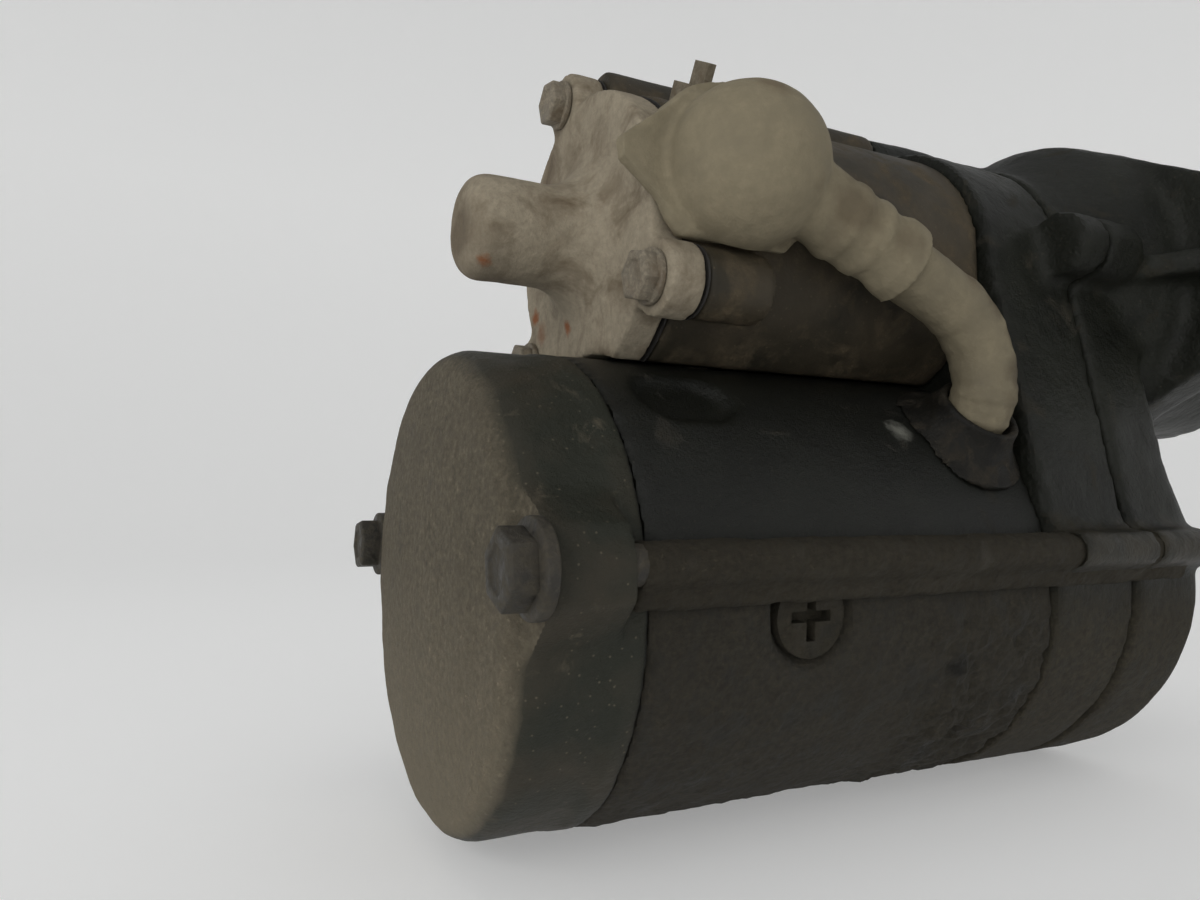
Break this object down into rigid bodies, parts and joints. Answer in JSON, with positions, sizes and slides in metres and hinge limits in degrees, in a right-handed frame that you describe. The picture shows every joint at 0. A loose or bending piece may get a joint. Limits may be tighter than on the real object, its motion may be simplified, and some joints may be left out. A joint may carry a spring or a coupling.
{
  "type": "starter motor",
  "caption": "Offset gear-reduction starter motor with a magnetic switch, lead boot, drive pinion and two-hole flange.",
  "frame": {"origin": "centre of the mounting spigot on the front face of the mounting flange", "axes": "+X along the drive shaft towards the pinion nose, +Z from the motor towards the magnetic switch"},
  "size_m": [0.2269, 0.146, 0.154],
  "materials": {
    "rear_cover_finish": "matt black paint under oily dust",
    "through_bolts_finish": "zinc plated, dirty",
    "yoke_finish": "worn satin black paint",
    "pole_cores_finish": "machined steel",
    "field_coils_finish": "copper",
    "brushes_finish": "carbon",
    "gear_case_finish": "cast, oil-darkened",
    "idler_bush_finish": "bronze",
    "switch_housing_finish": "matt, grimed",
    "switch_cover_finish": "cast, dusty",
    "cover_gasket_finish": "black rubber",
    "coil_bobbin_finish": "phenolic",
    "trigger_terminal_finish": "tinned brass",
    "terminal_boot_finish": "dusty grey rubber"
  },
  "bodies": {
    "housing": {"rear_cover": "rear_cover_finish", "through_bolts": "through_bolts_finish", "yoke": "yoke_finish", "pole_cores": "pole_cores_finish", "pole_screws": "through_bolts_finish", "field_coils": "field_coils_finish", "brush_holder": "pole_cores_finish", "brushes": "brushes_finish", "brush_springs": "pole_cores_finish", "rear_bearing": "pole_cores_finish", "front_bearing": "pole_cores_finish", "gear_case": "gear_case_finish", "drive_housing": "gear_case_finish", "housing_dowels": "through_bolts_finish", "barrel_screws": "through_bolts_finish", "idler_pin": "pole_cores_finish", "clutch_rear_bearing": "pole_cores_finish", "clutch_front_bearing": "pole_cores_finish", "switch_housing": "switch_housing_finish", "switch_cover": "switch_cover_finish", "cover_gasket": "cover_gasket_finish", "switch_bolts": "through_bolts_finish", "coil_bobbin": "coil_bobbin_finish", "switch_coil": "field_coils_finish", "fixed_core": "pole_cores_finish", "plunger_spring": "pole_cores_finish", "fixed_contacts": "field_coils_finish", "contact_base": "coil_bobbin_finish", "terminal_insulators": "coil_bobbin_finish", "motor_stud": "field_coils_finish", "battery_stud": "field_coils_finish", "terminal_nuts": "through_bolts_finish", "trigger_terminal": "trigger_terminal_finish", "terminal_boot": "terminal_boot_finish", "lead_core": "field_coils_finish", "lead_eye": "field_coils_finish", "lead_strap": "field_coils_finish", "lead_sleeve": "terminal_boot_finish", "lead_grommet": "cover_gasket_finish"},
    "armature": {"armature_shaft": "pole_cores_finish", "armature_core": "pole_cores_finish", "armature_winding": "field_coils_finish", "commutator": "field_coils_finish"},
    "idler": {"idler_bush": "idler_bush_finish", "idler_gear": "pole_cores_finish"},
    "clutch_drum": {"clutch_outer": "pole_cores_finish", "clutch_rollers": "pole_cores_finish", "clutch_cap": "pole_cores_finish"},
    "clutch_tube": {"clutch_inner": "pole_cores_finish", "pinion_spring": "pole_cores_finish"},
    "pinion_slider": {"pinion_shaft": "pole_cores_finish", "drive_pinion": "pole_cores_finish", "pinion_stop": "pole_cores_finish", "push_ball": "pole_cores_finish"},
    "plunger_unit": {"plunger": "pole_cores_finish", "push_rod": "pole_cores_finish", "contact_disc": "field_coils_finish", "contact_washers": "coil_bobbin_finish", "contact_spring": "pole_cores_finish"}
  },
  "joints": [
    {"name": "armature_spin", "type": "hinge", "parent": "housing", "child": "armature", "pos_m": [-0.1, 0, -0.067], "axis": [1, 0, 0], "continuous": true},
    {"name": "idler_spin", "type": "hinge", "parent": "housing", "child": "idler", "pos_m": [-0.044, 0, -0.041], "axis": [1, 0, 0], "continuous": true},
    {"name": "clutch_spin", "type": "hinge", "parent": "housing", "child": "clutch_drum", "pos_m": [-0.04, 0, 0], "axis": [1, 0, 0], "continuous": true},
    {"name": "clutch_overrun", "type": "hinge", "parent": "clutch_drum", "child": "clutch_tube", "pos_m": [-0.03, 0, 0], "axis": [1, 0, 0], "continuous": true},
    {"name": "pinion_throw", "type": "slide", "parent": "clutch_tube", "child": "pinion_slider", "axis": [1, 0, 0], "range_m": [0, 0.012], "stiffness_N_per_m": 1500, "springref_m": -0.006, "deforming": ["pinion_spring"]},
    {"name": "plunger_throw", "type": "slide", "parent": "housing", "child": "plunger_unit", "axis": [1, 0, 0], "range_m": [0, 0.012], "stiffness_N_per_m": 800, "springref_m": -0.006, "deforming": ["plunger_spring"]}
  ],
  "couplings": [
    {"joint": "idler_spin", "follows": "armature_spin", "ratio": -0.52941},
    {"joint": "clutch_spin", "follows": "armature_spin", "ratio": 0.375},
    {"joint": "plunger_throw", "follows": "pinion_throw", "ratio": 1}
  ]
}
